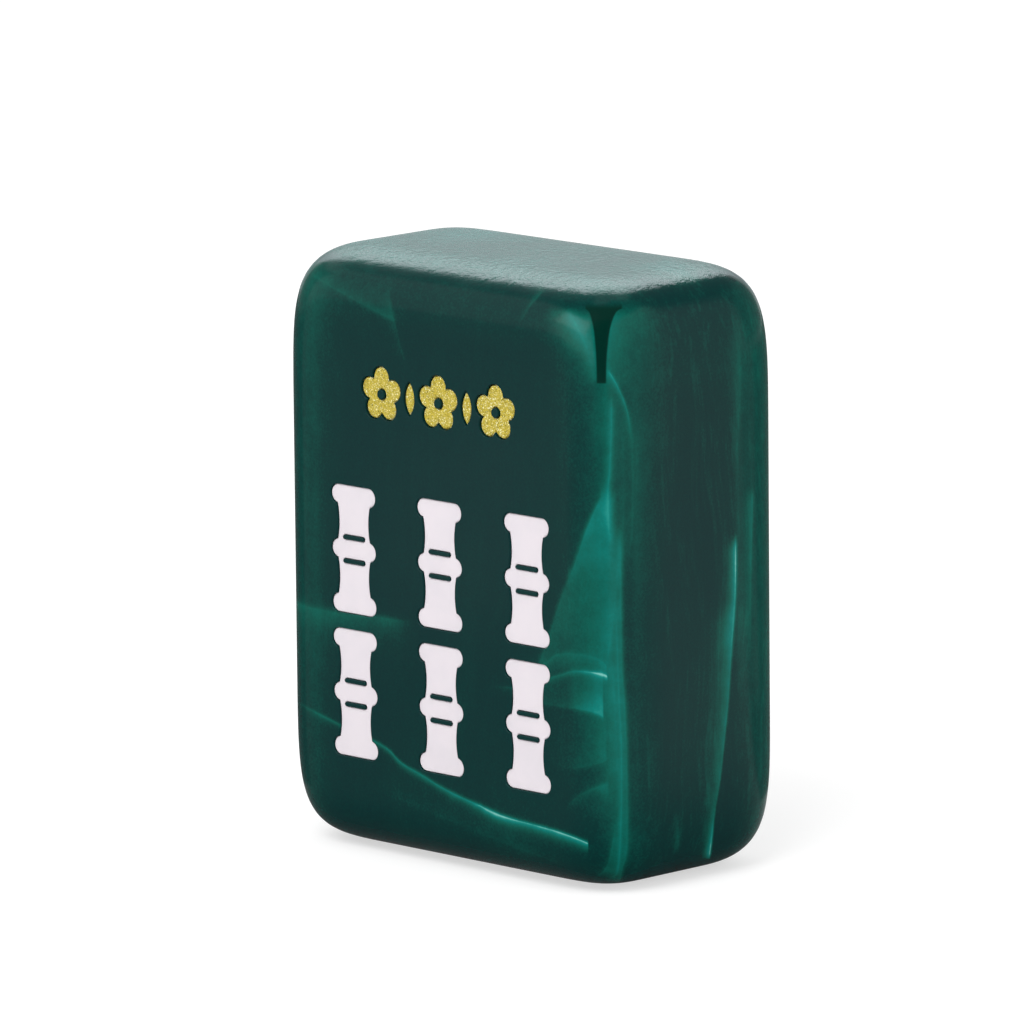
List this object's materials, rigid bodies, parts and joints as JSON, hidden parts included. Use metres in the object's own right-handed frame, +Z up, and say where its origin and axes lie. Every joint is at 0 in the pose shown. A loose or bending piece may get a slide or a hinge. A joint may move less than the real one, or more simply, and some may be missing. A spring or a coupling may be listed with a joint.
{
  "type": "mahjong tile",
  "caption": "Upright block of marbled green resin with rounded edges; enamel bamboo sticks and a row of gold blossoms fill engraved pockets of its face.",
  "frame": {"origin": "middle of the base, on the surface that the tile stands on", "axes": "+Z up along the height, -Y out of the engraved face, +X to the right as seen from the front"},
  "size_m": [0.0234, 0.0126, 0.03],
  "materials": {
    "cast_resin": "polished translucent green resin with pale marbled veils",
    "pale_enamel": "smooth off-white enamel with a faint pink cast",
    "gold_glitter": "gold glitter enamel, coarse and sparkling"
  },
  "bodies": {
    "root": {"tile_body": "cast_resin", "stick_top_left": "pale_enamel", "stick_top_middle": "pale_enamel", "stick_top_right": "pale_enamel", "stick_bottom_left": "pale_enamel", "stick_bottom_middle": "pale_enamel", "stick_bottom_right": "pale_enamel", "blossom_left": "gold_glitter", "blossom_middle": "gold_glitter", "blossom_right": "gold_glitter", "bud_left": "gold_glitter", "bud_right": "gold_glitter"}
  },
  "joints": []
}
